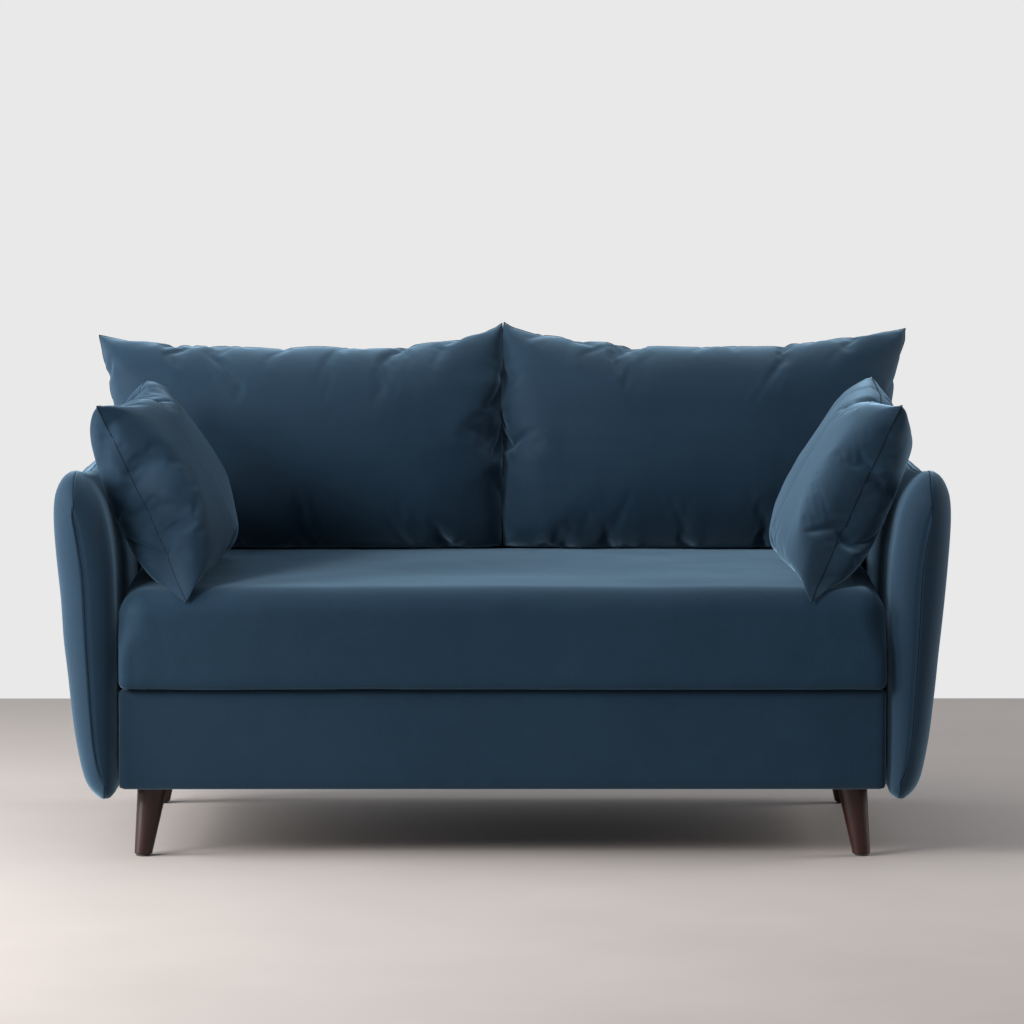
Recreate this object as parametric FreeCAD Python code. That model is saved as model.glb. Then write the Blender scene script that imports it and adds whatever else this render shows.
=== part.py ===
import FreeCAD, Part
import math
import os

from FreeCAD import Vector

os.makedirs("parts", exist_ok=True)

# A two-seat sofa on four splayed wooden legs. Millimetres. +Z is up, the front faces -Y, and the origin is on the
# floor under the middle of the sofa's box.

# ---------------------------------------------------------------- driving dimensions
WIDTH = 1710.0            # over the arms' widest points
DEPTH = 950.0             # from the arms' front seam to the back's rear cover
HEIGHT = 1000.0           # floor to the tips of the back cushions
HALF_DEPTH = DEPTH / 2

INNER_HALF = 735.0        # the arms' inner faces, below the seat's top
SEAT_HALF = 724.0         # half the seat cushion's width
SEAT_FRONT = -475.0
SEAT_REAR = 300.0
SEAT_BOTTOM = 329.0
SEAT_TOP_FRONT = 527.0
SEAT_TOP_MID = 546.0
SEAT_TOP_REAR = 541.0
SEAT_NOSE_R = 52.0

BASE_HALF = 731.0
BASE_BOTTOM = 137.0
BASE_TOP = 326.0
PANEL_FRONT = -450.0
RAIL_T = 22.0
REAR_RAIL_Y = 430.0       # rear rail's front face

LEG_TOP_Z = 135.0
LEG_TOP_R = 29.0
LEG_FOOT_R = 16.5
# the rear legs stand a little further out than the front ones
LEG_FOOT_X = {-1: 690.0, 1: 707.0}
LEG_TOP_X = {-1: 672.0, 1: 689.0}
LEG_PLATE_X = 667.0
LEG_FOOT_Y = 390.0
LEG_TOP_Y = 372.0
GLIDE_R = 13.0
GLIDE_H = 5.0

COVER_T = 2.5             # cover with its thin lining
BACK_TOP = 778.0
BACK_FRONT_LOW = 306.0    # back's front face at the seat deck
BACK_FRONT_HIGH = 350.0   # and near its top


def save(name, shapes):
    if not isinstance(shapes, (list, tuple)):
        shapes = [shapes]
    solids = []
    for s in shapes:
        for solid in s.Solids:
            solids.append(solid)
    shape = solids[0] if len(solids) == 1 else Part.makeCompound(solids)
    shape.exportStep("parts/%s.step" % name)
    volume = sum(s.Volume for s in solids)
    print("%-36s solids %2d volume %.1f cm3 valid %s" % (name, len(solids), volume / 1000, all(s.isValid() for s in solids)))


def box(x0, y0, z0, x1, y1, z1):
    return Part.makeBox(abs(x1 - x0), abs(y1 - y0), abs(z1 - z0), Vector(min(x0, x1), min(y0, y1), min(z0, z1)))


def mirror_x(shape):
    return shape.mirror(Vector(0, 0, 0), Vector(1, 0, 0))


def rod(a, b, r):
    a, b = Vector(*a), Vector(*b)
    return Part.makeCylinder(r, (b - a).Length, a, b - a)


def closed_curve(points):
    curve = Part.BSplineCurve()
    curve.interpolate(Points=[Vector(*p) for p in points], PeriodicFlag=True)
    return Part.Wire(curve.toShape())


def two_part_curve(points, first, second):
    # a closed loop as two smooth curves that meet at the points with these two indices
    n = len(points)
    count = (second - first) % n
    one = [Vector(*points[(first + i) % n]) for i in range(count + 1)]
    two = [Vector(*points[(second + i) % n]) for i in range(n - count + 1)]
    edges = []
    for run in (one, two):
        curve = Part.BSplineCurve()
        curve.interpolate(Points=run)
        edges.append(curve.toShape())
    return Part.Wire(edges)


def loft(wires):
    solid = Part.makeLoft(wires, True, True)
    solid = solid.Solids[0] if solid.Solids else Part.Solid(solid)
    if solid.Volume < 0:
        solid.reverse()
    return solid


def inset_loop(points, d):
    # moves each point of a closed 2-D loop inwards by d along the loop's normal
    n = len(points)
    area = 0.0
    for i in range(n):
        x0, z0 = points[i]
        x1, z1 = points[(i + 1) % n]
        area += x0 * z1 - x1 * z0
    sign = 1.0 if area > 0 else -1.0
    out = []
    for i in range(n):
        xa, za = points[i - 1]
        xb, zb = points[(i + 1) % n]
        tx, tz = xb - xa, zb - za
        length = math.hypot(tx, tz)
        out.append((points[i][0] - sign * d * tz / length, points[i][1] + sign * d * tx / length))
    return out


# ---------------------------------------------------------------- base frame
front_rail = box(-BASE_HALF, PANEL_FRONT + 12, BASE_BOTTOM, BASE_HALF, PANEL_FRONT + 12 + RAIL_T, BASE_TOP - 12)
rear_rail = box(-BASE_HALF, REAR_RAIL_Y, BASE_BOTTOM, BASE_HALF, REAR_RAIL_Y + RAIL_T, BASE_TOP - 12)
rail_y0 = PANEL_FRONT + 12 + RAIL_T
side_rail = box(BASE_HALF - RAIL_T, rail_y0, BASE_BOTTOM, BASE_HALF, REAR_RAIL_Y, BASE_TOP - 12)
centre_rail = box(-11, rail_y0, BASE_BOTTOM, 11, REAR_RAIL_Y, BASE_BOTTOM + 90)

BOLT_Z = 152.0
BOLT_YS = (-240.0, -50.0, 235.0)
bolt_holes = [rod((BASE_HALF - 60, y, BOLT_Z), (BASE_HALF + 80, y, BOLT_Z), 4.5) for y in BOLT_YS]
for hole in bolt_holes:
    side_rail = side_rail.cut(hole)

save("front_rail", front_rail)
save("rear_rail", rear_rail)
save("right_side_rail", side_rail)
save("left_side_rail", mirror_x(side_rail))
save("centre_rail", centre_rail)


# corner blocks: one in each corner of the base frame, with room for the leg's bolt
def leg_axis(sx, sy):
    foot = Vector(sx * LEG_FOOT_X[sy], sy * LEG_FOOT_Y, 0)
    top = Vector(sx * LEG_TOP_X[sy], sy * LEG_TOP_Y, LEG_TOP_Z)
    return foot, top, (top - foot).normalize()


BLOCK = 130.0
BLOCK_Z0 = BASE_BOTTOM + 3
BLOCK_Z1 = BLOCK_Z0 + 45
blocks = []
for sx in (-1, 1):
    for sy in (-1, 1):
        cx = sx * (BASE_HALF - RAIL_T)
        cy = rail_y0 if sy < 0 else REAR_RAIL_Y
        pts = [
            Vector(cx, cy, BLOCK_Z0),
            Vector(cx - sx * BLOCK, cy, BLOCK_Z0),
            Vector(cx - sx * BLOCK, cy - sy * 45, BLOCK_Z0),
            Vector(cx - sx * 45, cy - sy * BLOCK, BLOCK_Z0),
            Vector(cx, cy - sy * BLOCK, BLOCK_Z0),
        ]
        block = Part.Face(Part.makePolygon(pts + [pts[0]])).extrude(Vector(0, 0, BLOCK_Z1 - BLOCK_Z0))
        foot, top, axis = leg_axis(sx, sy)
        block = block.cut(Part.makeCylinder(6.0, 120, top - axis * 5, axis))
        blocks.append(block)

# zigzag springs run from the front rail's top to the rear rail's top
WIRE_R = 1.9
SPRING_Z = BASE_TOP - 12 + 3.0
SPRING_XS = [-595.0 + 170.0 * i for i in range(8)]
LOOP_R = 13.0
LOOP_HALF = 24.0


def zigzag(x):
    y0 = PANEL_FRONT + 12 + 10
    y1 = REAR_RAIL_Y + 12
    runs = 28
    step = 2 * LOOP_R
    start = (y0 + y1) / 2 - runs * step / 2
    edges = []
    side = 1
    y = start
    here = Vector(x, y, SPRING_Z)
    for i in range(runs):
        turn = Vector(x + side * (LOOP_HALF - LOOP_R), y, SPRING_Z)
        if (turn - here).Length > 0.01:
            edges.append(Part.LineSegment(here, turn).toShape())
        mid = Vector(x + side * LOOP_HALF, y + LOOP_R, SPRING_Z)
        end = Vector(x + side * (LOOP_HALF - LOOP_R), y + step, SPRING_Z)
        edges.append(Part.Arc(turn, mid, end).toShape())
        here = end
        y += step
        side = -side
    last = Vector(x, y, SPRING_Z)
    edges.append(Part.LineSegment(here, last).toShape())
    path = Part.Wire(edges)
    circle = Part.Wire(Part.makeCircle(WIRE_R, Vector(x, start, SPRING_Z), Vector(1, 0, 0)))
    return path.makePipeShell([circle], True, False), start, y


springs, clips = [], []
for sx in SPRING_XS:
    spring, ya, yb = zigzag(sx)
    springs.append(spring)
    for yc in (ya, yb):
        # a folded clip: a base on the rail and a lip over the wire
        base = box(sx - 9, yc - 8, BASE_TOP - 12, sx + 9, yc + 8, SPRING_Z - WIRE_R)
        lip = box(sx - 9, yc - 8, SPRING_Z + WIRE_R, sx + 9, yc + 8, SPRING_Z + WIRE_R + 1.2)
        web_y = -8 if yc < 0 else 6.8
        web = box(sx - 9, yc + web_y, SPRING_Z - WIRE_R, sx + 9, yc + web_y + 1.2, SPRING_Z + WIRE_R)
        clips.append(base.fuse(lip).fuse(web).removeSplitter())
save("seat_springs", springs)
save("spring_clips", clips)

deck = box(-BASE_HALF + 6, PANEL_FRONT + 14, SPRING_Z + WIRE_R + 1.6, BASE_HALF - 6, 302, SEAT_BOTTOM - 0.4)
save("seat_deck", deck)

# ---------------------------------------------------------------- front panel
panel_foam = box(-BASE_HALF + 3, PANEL_FRONT + 3, BASE_BOTTOM, BASE_HALF - 3, PANEL_FRONT + 11.8, BASE_TOP - 3)
panel_outer = box(-BASE_HALF, PANEL_FRONT, BASE_BOTTOM, BASE_HALF, PANEL_FRONT + 11.8, BASE_TOP)
panel_outer = panel_outer.makeFillet(5, [e for e in panel_outer.Edges if e.BoundBox.YMax < PANEL_FRONT + 1 and e.Length > 300])
panel_cover = panel_outer.cut(box(-BASE_HALF + 2.5, PANEL_FRONT + 2.5, BASE_BOTTOM - 5, BASE_HALF - 2.5, PANEL_FRONT + 20, BASE_TOP - 2.5))
panel_foam = panel_foam.makeFillet(3, [e for e in panel_foam.Edges if e.BoundBox.YMax < PANEL_FRONT + 4 and e.Length > 300])
save("front_panel_foam", panel_foam)
save("front_panel_cover", panel_cover)

# ---------------------------------------------------------------- legs and what holds them
legs, glides, plates, plate_screws, leg_bolts, dust_holes = {}, [], [], [], [], []
for sx, side in ((-1, "left"), (1, "right")):
    for sy, end in ((-1, "front"), (1, "rear")):
        foot, top, axis = leg_axis(sx, sy)
        length = (top - foot).Length
        cone = Part.makeCone(LEG_FOOT_R - 1.0, LEG_TOP_R + 1.0, length + 24, foot - axis * 12, axis)
        leg = cone.common(box(-900, -600, GLIDE_H - 1.5, 900, 600, LEG_TOP_Z))
        low = [e for e in leg.Edges if e.BoundBox.ZMax < GLIDE_H - 1.4]
        leg = leg.makeFillet(3.0, low)
        high = [e for e in leg.Edges if e.BoundBox.ZMin > LEG_TOP_Z - 0.1]
        leg = leg.makeFillet(1.5, high)
        glide_seat = Part.makeCylinder(GLIDE_R - 3, 4, Vector(foot.x, foot.y, GLIDE_H - 1.5))
        leg = leg.cut(glide_seat)
        hole = Part.makeCylinder(4.1, 60, top - axis * 34, axis)
        leg = leg.cut(hole)
        legs["%s_%s_leg" % (end, side)] = leg
        disc = Part.makeCylinder(GLIDE_R, GLIDE_H - 1.5, Vector(foot.x, foot.y, 0))
        disc = disc.makeFillet(1.2, [e for e in disc.Edges if e.BoundBox.ZMax < 0.1])
        stem = Part.makeCylinder(GLIDE_R - 3.05, 3.9, Vector(foot.x, foot.y, GLIDE_H - 1.5))
        glides.append(disc.fuse(stem).removeSplitter())
        plate_x = sx * LEG_PLATE_X
        plate = box(plate_x - 37, top.y - 37, LEG_TOP_Z + 2, plate_x + 37, top.y + 37, LEG_TOP_Z + 5)
        corner_edges = [e for e in plate.Edges if abs(e.BoundBox.ZLength - 3) < 0.01]
        plate = plate.makeFillet(8, corner_edges)
        plate = plate.cut(Part.makeCylinder(4.6, 60, top - axis * 20, axis))
        for dx in (-28, 28):
            for dy in (-28, 28):
                p = Vector(plate_x + dx, top.y + dy, LEG_TOP_Z + 2)
                shank = Part.makeCylinder(1.9, 22, p)
                head = Part.makeCone(4.0, 2.0, 2.6, p + Vector(0, 0, 0))
                screw = head.fuse(shank).removeSplitter()
                plate = plate.cut(Part.makeCone(4.15, 2.1, 2.75, p)).cut(Part.makeCylinder(2.1, 10, p))
                plate_screws.append(screw)
        plates.append(plate)
        leg_bolts.append(Part.makeCylinder(4.0, 66, top - axis * 33, axis))
        dust_holes.append(Part.makeCylinder(54, 40, Vector(plate_x, top.y, 120)))
for name, leg in legs.items():
    save(name, leg)
save("leg_glides", glides)
save("leg_plates", plates)
save("leg_bolts", leg_bolts)

# the plates' screws go into pilot holes in the corner blocks
blocks_drilled = []
for block in blocks:
    for screw in plate_screws:
        c = screw.BoundBox.Center
        if block.BoundBox.isInside(Vector(c.x, c.y, block.BoundBox.Center.z)):
            block = block.cut(Part.makeCylinder(1.95, 30, Vector(c.x, c.y, LEG_TOP_Z)))
    blocks_drilled.append(block)
save("corner_blocks", blocks_drilled)
save("leg_plate_screws", plate_screws)

dust = box(-BASE_HALF + 4, PANEL_FRONT + 14, BASE_BOTTOM - 1.5, BASE_HALF - 4, REAR_RAIL_Y + RAIL_T - 2, BASE_BOTTOM - 0.1)
for hole in dust_holes:
    dust = dust.cut(hole)
save("dust_cover", dust)

# ---------------------------------------------------------------- arms
# The arm's outline across its length, as (x, z): a thin foot, an upright inner face up to the seat, and then both faces
# roll outwards into a narrow rounded top.
ARM_LOOP = [
    (737.5, 131), (745, 120), (757, 116), (773, 121), (788, 135), (799, 158), (808, 195), (816.5, 245), (824, 305), (831, 370),
    (838, 435), (844, 510), (850, 580), (854, 640), (853.5, 680), (849, 706), (839, 727), (826, 739), (813, 741.5), (799, 734),
    (786, 720), (774, 702), (763, 680), (754, 650), (746, 612), (740, 570), (736, 520), (735, 460), (735, 390),
    (735, 320), (735, 250), (735, 190), (735, 152),
]
ARM_TIP = 2               # index of the loop's lowest point
ARM_CREST = 18            # and of its highest
ARM_APEX = 741.5
ARM_BEND = 550.0
SEAM_X0 = 757.0           # seam plane: x at z = 120, and how much it leans
SEAM_LEAN = 0.1
# height of the arm's top along its length
ARM_TOPS = [(-475, 741), (-385, 741), (-290, 733), (-200, 726), (-100, 721), (0, 721), (100, 728), (190, 744), (275, 762), (370, 778), (475, 786)]


def arm_top(y):
    for (y0, t0), (y1, t1) in zip(ARM_TOPS, ARM_TOPS[1:]):
        if y <= y1:
            return t0 + (t1 - t0) * (y - y0) / (y1 - y0)
    return ARM_TOPS[-1][1]


def arm_solid(inset):
    stations = []
    for y, edge in (
        (-475, 7), (-472, 3.5), (-466, 1), (-455, 0), (-385, 0), (-290, 0), (-200, 0), (-100, 0), (0, 0), (100, 0),
        (190, 0), (275, 0), (370, 0), (455, 0), (466, 1), (472, 3.5), (475, 7),
    ):
        top = arm_top(y)
        stretch = (top - ARM_BEND) / (ARM_APEX - ARM_BEND)
        loop = [(x, z if z < ARM_BEND else ARM_BEND + (z - ARM_BEND) * stretch) for x, z in ARM_LOOP]
        loop = inset_loop(loop, edge + inset)
        yy = y + (inset if y < 0 else -inset) if abs(y) > 450 else y
        stations.append(two_part_curve([(x, yy, z) for x, z in loop], ARM_TIP, ARM_CREST))
    return loft(stations)


arm_outside = arm_solid(0)
arm_lining = arm_solid(COVER_T)
arm_core = arm_solid(COVER_T + 0.7)
arm_skin = arm_outside.cut(arm_lining)


def seam_side(sign):
    # a big block on one side of the seam plane
    far = SEAM_X0 + sign * 400
    lean = SEAM_LEAN * 900
    pts = [Vector(SEAM_X0 - 12, -600, 0), Vector(far, -600, 0), Vector(far, -600, 900), Vector(SEAM_X0 - 12 + lean, -600, 900)]
    return Part.Face(Part.makePolygon(pts + [pts[0]])).extrude(Vector(0, 1200, 0))


outer_cover = arm_skin.common(seam_side(1))
inner_cover = arm_skin.common(seam_side(-1))


# the arm's timbers lean with it
def lean(shape):
    shape.rotate(Vector(757, 0, 128), Vector(0, 1, 0), 4.6)
    return shape


timbers = [
    lean(box(743, -440, 112, 769, 440, 165)),
    lean(box(743, -440, 165, 769, -400, 640)),
    lean(box(743, 400, 165, 769, 440, 640)),
    lean(box(743, -20, 165, 769, 20, 640)),
    lean(box(743, -440, 640, 769, 440, 675)),
]
timbers[0] = timbers[0].common(box(700, -500, 126.5, 900, 500, 900))
for hole in bolt_holes:
    timbers[0] = timbers[0].cut(hole)
arm_room = [
    lean(box(742.7, -440.3, 90, 769.3, 440.3, 165.3)),
    lean(box(742.7, -440.3, 165, 769.3, -399.7, 640.3)),
    lean(box(742.7, 399.7, 165, 769.3, 440.3, 640.3)),
    lean(box(742.7, -20.3, 165, 769.3, 20.3, 640.3)),
    lean(box(742.7, -440.3, 640, 769.3, 440.3, 675.3)),
]
# bolts go through the side rails into the arm's bottom timber, and into tee nuts on its far side
arm_bolts, arm_washers, tee_nuts = [], [], []
for y in BOLT_YS:
    x_in = BASE_HALF - RAIL_T
    shaft = rod((x_in - 1.6, y, BOLT_Z), (786, y, BOLT_Z), 4.0)
    head = rod((x_in - 1.6 - 5, y, BOLT_Z), (x_in - 1.6, y, BOLT_Z), 7.5)
    socket = Part.makeCylinder(2.9, 3.5, Vector(x_in - 1.6 - 5, y, BOLT_Z), Vector(1, 0, 0))
    arm_bolts.append(head.fuse(shaft).removeSplitter().cut(socket))
    washer = rod((x_in - 1.6, y, BOLT_Z), (x_in, y, BOLT_Z), 11).cut(rod((x_in - 5, y, BOLT_Z), (x_in + 5, y, BOLT_Z), 4.2))
    arm_washers.append(washer)
    nut = rod((774.5, y, BOLT_Z), (776, y, BOLT_Z), 10.0)
    sleeve = rod((776, y, BOLT_Z), (782, y, BOLT_Z), 6.0)
    tee_nuts.append(nut.fuse(sleeve).removeSplitter().cut(rod((750, y, BOLT_Z), (800, y, BOLT_Z), 4.1)))
padding = arm_core
all_room = arm_room[0]
for room in arm_room[1:]:
    all_room = all_room.fuse(room)
padding = padding.cut(all_room.removeSplitter())
# the cover and the padding are notched round each bolt
for y in BOLT_YS:
    notch = box(700, y - 12, 100, 789, y + 12, BOLT_Z + 12)
    padding = padding.cut(notch)
    inner_cover = inner_cover.cut(box(700, y - 12, 100, 745, y + 12, BOLT_Z + 12))

# two foam halves, front and rear, meet in the middle of the arm
padding_front = padding.common(box(600, -600, 0, 1000, 5, 900))
padding_rear = padding.common(box(600, 5, 0, 1000, 600, 900))
padding = [max(p.Solids, key=lambda s: s.Volume) for p in (padding_front, padding_rear)]
for sx, side in ((1, "right"), (-1, "left")):
    flip = (lambda s: s) if sx > 0 else mirror_x
    save("%s_arm_frame" % side, [flip(t) for t in timbers])
    save("%s_arm_padding" % side, [flip(p) for p in padding])
    save("%s_arm_outer_cover" % side, flip(outer_cover))
    save("%s_arm_inner_cover" % side, flip(inner_cover))
save("arm_bolts", arm_bolts + [mirror_x(s) for s in arm_bolts])
save("arm_washers", arm_washers + [mirror_x(s) for s in arm_washers])
save("arm_tee_nuts", tee_nuts + [mirror_x(s) for s in tee_nuts])

# ---------------------------------------------------------------- back
BACK_HALF = INNER_HALF - 0.5


def back_profile(d):
    # the back's outline from the side, as (y, z), inset by d
    low = BASE_TOP + 12 + d
    pts = [
        (BACK_FRONT_LOW + d, low),
        (BACK_FRONT_HIGH - 4 + d, BACK_TOP - 38),
        (BACK_FRONT_HIGH + 6 + d * 0.9, BACK_TOP - 16 - d * 0.2),
        (BACK_FRONT_HIGH + 24 + d * 0.4, BACK_TOP - 3 - d),
        (BACK_FRONT_HIGH + 48, BACK_TOP - d),
        (HALF_DEPTH - 30, BACK_TOP - 4 - d),
        (HALF_DEPTH - 10 - d * 0.7, BACK_TOP - 16 - d * 0.7),
        (HALF_DEPTH - d, BACK_TOP - 40),
        (HALF_DEPTH - d, low),
    ]
    vs = [Vector(0, y, z) for y, z in pts]
    return Part.Face(Part.makePolygon(vs + [vs[0]]))


def back_solid(d, half):
    face = back_profile(d)
    face.translate(Vector(-half, 0, 0))
    return face.extrude(Vector(2 * half, 0, 0))


back_out = back_solid(0, BACK_HALF)
back_in = back_solid(COVER_T, BACK_HALF + 5)
skin = back_out.cut(back_in)
# the front cover wraps over the top, and the rear cover is a flat panel that reaches down over the base's rear rail
rear_cover = box(-BACK_HALF, HALF_DEPTH - COVER_T, BASE_BOTTOM, BACK_HALF, HALF_DEPTH, BACK_TOP - 41)
front_piece = skin.cut(box(-900, 440, 0, 900, 600, BACK_TOP - 40.5)).cut(box(-900, 330, 0, 900, 600, 345))
front_piece = max(front_piece.Solids, key=lambda s: s.Volume)
save("back_inner_cover", front_piece)
save("back_outer_cover", rear_cover)

# timbers: three stiles and two rails
stile_y0, stile_y1 = 405.0, 428.0
back_timbers = []
for x0 in (-706, -20, 666):
    back_timbers.append(box(x0, stile_y0, BASE_TOP - 95, x0 + 40, stile_y1, BACK_TOP - 70))
top_rail = box(-722, stile_y0, BACK_TOP - 70, 722, stile_y1, BACK_TOP - 22)
back_timbers.append(top_rail)
for x0, x1 in ((-666, -20), (20, 666)):
    back_timbers.append(box(x0, stile_y0, BASE_TOP + 16, x1, stile_y1, BASE_TOP + 60))
save("back_frame", back_timbers)

# elastic straps stand on the stiles' front face, from the lower rail to the top rail
straps = []
for i in range(8):
    xc = -595.0 + 170.0 * i
    straps.append(box(xc - 25, stile_y0 - 1.8, BASE_TOP + 20, xc + 25, stile_y0 - 0.3, BACK_TOP - 26))
save("back_webbing", straps)

# foam: a thick pad in front of the straps, which wraps over the top rail
foam = back_solid(COVER_T + 0.5, BACK_HALF - 3)
foam = foam.cut(box(-900, stile_y0 - 2.2, 0, 900, 600, BACK_TOP - 21.6))
foam_front = foam.common(box(-900, 0, 0, 900, 600, BACK_TOP - 21.6))
foam_top = foam.common(box(-900, 0, BACK_TOP - 21.6, 900, 600, 900))
save("back_padding", [max(f.Solids, key=lambda s: s.Volume) for f in (foam_front, foam_top)])

brackets = []
for x in (-686, 0, 686):
    plate = box(x - 14, stile_y1, BASE_TOP - 90, x + 14, stile_y1 + 1.9, BASE_TOP - 20)
    brackets.append(plate)
save("back_brackets", brackets)


# ---------------------------------------------------------------- seat cushion
def seat_solid(d):
    y0, y1 = SEAT_FRONT + d, SEAT_REAR - d
    z0 = SEAT_BOTTOM + d
    p = [
        Vector(-SEAT_HALF + d, y0, z0),
        Vector(-SEAT_HALF + d, y0, SEAT_TOP_FRONT - d),
        Vector(-SEAT_HALF + d, (y0 + y1) / 2, SEAT_TOP_MID - d),
        Vector(-SEAT_HALF + d, y1, SEAT_TOP_REAR - d),
        Vector(-SEAT_HALF + d, y1, z0),
    ]
    edges = [
        Part.LineSegment(p[0], p[1]).toShape(),
        Part.Arc(p[1], p[2], p[3]).toShape(),
        Part.LineSegment(p[3], p[4]).toShape(),
        Part.LineSegment(p[4], p[0]).toShape(),
    ]
    solid = Part.Face(Part.Wire(edges)).extrude(Vector(2 * (SEAT_HALF - d), 0, 0))
    nose = [e for e in solid.Edges if e.BoundBox.XLength > 1000 and e.BoundBox.YMax < y0 + 1 and e.BoundBox.ZMin > z0 + 50]
    solid = solid.makeFillet(SEAT_NOSE_R - d, nose)
    ends = [e for e in solid.Edges if e.BoundBox.XLength < 1]
    solid = solid.makeFillet(24 - d, ends)
    return solid


seat_outside = seat_solid(0)
seat_lining = seat_solid(COVER_T)
seat_skin = seat_outside.cut(seat_lining)
split = SEAT_BOTTOM + 30
save("seat_cushion_cover_top", seat_skin.common(box(-900, -600, split, 900, 600, 900)))
save("seat_cushion_cover_bottom", seat_skin.common(box(-900, -600, 0, 900, 600, split)))
save("seat_cushion_foam", seat_solid(COVER_T + 0.7))
zip_tape = box(-500, SEAT_REAR + 0.3, SEAT_BOTTOM + 60, 500, SEAT_REAR + 1.5, SEAT_BOTTOM + 86)
zip_teeth = box(-496, SEAT_REAR + 1.5, SEAT_BOTTOM + 70.5, 496, SEAT_REAR + 3.0, SEAT_BOTTOM + 75.5)
save("seat_cushion_zip", zip_tape.fuse(zip_teeth).removeSplitter())


# ---------------------------------------------------------------- loose cushions
def pillow(rows, origin, across, up, out, inset=0.0):
    # rows: (v, u_low, u_high, half_thickness); the cushion's plane is across x up, and out is its front
    stations = []
    n = 28
    vmid = (rows[0][0] + rows[-1][0]) / 2
    for v, u0, u1, t in rows:
        vv = v + (inset if v < vmid else -inset) if v in (rows[0][0], rows[-1][0]) else v
        cu, hu = (u0 + u1) / 2, (u1 - u0) / 2 - inset
        ht = max(t - inset, 1.0)
        pts = []
        for i in range(n):
            a = 2 * math.pi * i / n
            c, s = math.cos(a), math.sin(a)
            pu = cu + hu * math.copysign(abs(c) ** 0.8, c)
            pt = ht * math.copysign(abs(s) ** 0.85, s)
            q = origin + across * pu + up * vv + out * pt
            pts.append((q.x, q.y, q.z))
        stations.append(closed_curve(pts))
    return loft(stations)


def cushion(name, rows, origin, across, up, out, zip_half, zip_u, flip=False):
    outside = pillow(rows, origin, across, up, out)
    lining = pillow(rows, origin, across, up, out, COVER_T)
    filling = pillow(rows, origin, across, up, out, COVER_T + 0.7)
    skin = outside.cut(lining)
    centre = origin
    # a big block in front of the cushion's middle plane
    front = Part.makeBox(3000, 3000, 600)
    rot = FreeCAD.Rotation(across, up, out, "XYZ")
    front.Placement = FreeCAD.Placement(centre - across * 1500 - up * 1500, rot)
    rear = front.copy()
    rear.Placement = FreeCAD.Placement(centre - across * 1500 - up * 1500 - out * 600, rot)
    front_cover = skin.common(front)
    rear_cover = skin.common(rear)
    v0 = rows[0][0]
    tape = Part.makeBox(2 * zip_half, 1.0, 16)
    tape.Placement = FreeCAD.Placement(origin + across * (zip_u - zip_half) + up * (v0 - 1.3) - out * 8, rot)
    teeth = Part.makeBox(2 * zip_half - 8, 1.2, 4)
    teeth.Placement = FreeCAD.Placement(origin + across * (zip_u - zip_half + 4) + up * (v0 - 2.5) - out * 2, rot)
    zipper = tape.fuse(teeth).removeSplitter()
    fix = mirror_x if flip else (lambda s: s)
    save(name + "_front_cover", fix(front_cover))
    save(name + "_rear_cover", fix(rear_cover))
    save(name + "_filling", fix(filling))
    save(name + "_zip", fix(zipper))
    return outside


# the big back cushions stand on the seat and lean back on the back's top
LEAN = math.radians(10.5)
back_up = Vector(0, math.sin(LEAN), math.cos(LEAN))
back_out_dir = Vector(0, -math.cos(LEAN), math.sin(LEAN))
back_across = Vector(1, 0, 0)
back_origin = Vector(0, 196, 556)
BACK_ROWS = [
    # v along the cushion's plane, inner edge, outer edge, half thickness
    (0, 22, 712, 44), (14, 10, 722, 66), (50, 5, 727, 88), (110, 3, 738, 99), (180, 3, 751, 101), (250, 3, 766, 94),
    (320, 3, 782, 80), (380, 3, 797, 59), (420, 3, 808, 36), (438, 3, 815, 20), (452, 5, 819, 7),
]
cushion("back_cushion_right", BACK_ROWS, back_origin, back_across, back_up, back_out_dir, 260, 365)
cushion("back_cushion_left", BACK_ROWS, back_origin, back_across, back_up, back_out_dir, 260, 365, flip=True)

# the scatter cushions stand on the seat and lean on the arms, facing the middle
scatter_out = Vector(-0.872, -0.198, 0.449).normalize()
scatter_up = Vector(0.42, 0.12, 0.90)
scatter_up = (scatter_up - scatter_out * scatter_up.dot(scatter_out)).normalize()
scatter_across = scatter_up.cross(scatter_out)
scatter_origin = Vector(655, -195, 691)
SCATTER_ROWS = [
    (-142, -196, 196, 26), (-130, -200, 200, 46), (-100, -204, 204, 66), (-50, -206, 206, 80), (10, -206, 206, 83), (70, -206, 206, 77),
    (130, -207, 207, 60), (175, -209, 209, 38), (200, -212, 212, 20), (212, -214, 214, 7),
]
cushion("scatter_cushion_right", SCATTER_ROWS, scatter_origin, scatter_across, scatter_up, scatter_out, 150, 0)
cushion("scatter_cushion_left", SCATTER_ROWS, scatter_origin, scatter_across, scatter_up, scatter_out, 150, 0, flip=True)
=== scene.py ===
import math

import bmesh
import bpy
import numpy as np
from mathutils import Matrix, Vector, noise


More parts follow.
